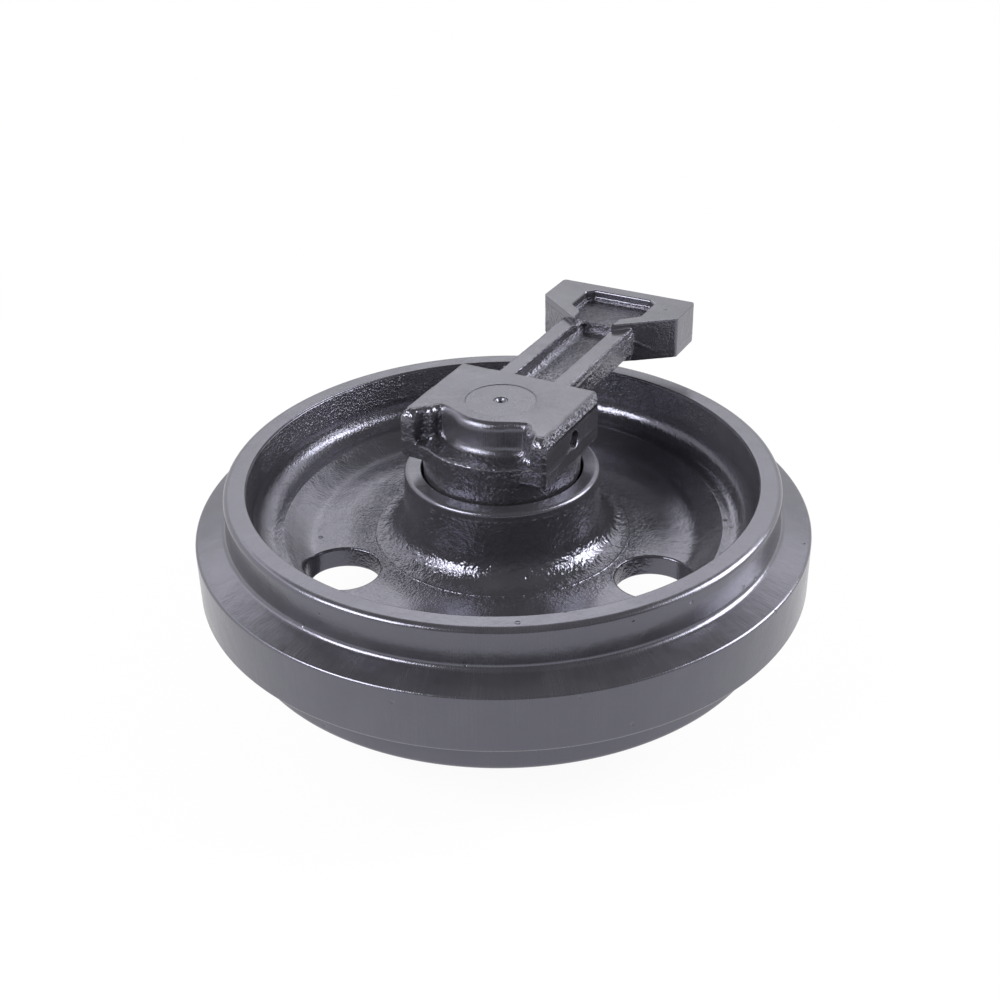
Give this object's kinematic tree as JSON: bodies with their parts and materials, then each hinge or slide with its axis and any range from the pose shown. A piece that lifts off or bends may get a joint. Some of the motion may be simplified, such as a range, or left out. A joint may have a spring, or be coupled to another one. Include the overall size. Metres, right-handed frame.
{
  "type": "excavator front idler",
  "caption": "Track front idler: flanged cast wheel turning on a fixed axle, held by cast brackets with ears and hook-ended arms.",
  "frame": {"origin": "centre of the axle's lower end, level with the lower bracket's outer face, with the idler lying flat", "axes": "+Z along the axle towards the upper bracket's outer face, +X along the bracket arms towards the hook heads"},
  "size_m": [0.45, 0.45, 0.226],
  "materials": {
    "wheel_paint": "glossy charcoal paint over a casting with machined treads",
    "bracket_paint": "glossy charcoal paint over a rough casting with a machined face",
    "axle_steel": "steel bar, its ends painted over",
    "plug_steel": "steel plug, painted over",
    "pin_steel": "ground steel",
    "bushing_bronze": "bored bronze",
    "seal_iron": "lapped hard cast iron",
    "seal_rubber": "smooth black rubber"
  },
  "bodies": {
    "axle_and_brackets": {"axle_shaft": "axle_steel", "upper_bracket": "bracket_paint", "lower_bracket": "bracket_paint", "oil_plug": "plug_steel", "upper_lock_pin": "pin_steel", "lower_lock_pin": "pin_steel", "upper_fixed_seal_ring": "seal_iron", "lower_fixed_seal_ring": "seal_iron", "upper_fixed_toric": "seal_rubber", "lower_fixed_toric": "seal_rubber", "upper_shaft_o_ring": "seal_rubber", "lower_shaft_o_ring": "seal_rubber"},
    "turning_wheel": {"wheel": "wheel_paint", "upper_bushing": "bushing_bronze", "lower_bushing": "bushing_bronze", "upper_turning_seal_ring": "seal_iron", "lower_turning_seal_ring": "seal_iron", "upper_turning_toric": "seal_rubber", "lower_turning_toric": "seal_rubber"}
  },
  "joints": [
    {"name": "wheel_spin", "type": "hinge", "parent": "axle_and_brackets", "child": "turning_wheel", "pos_m": [0, 0, 0.113], "axis": [0, 0, 1], "continuous": true}
  ]
}
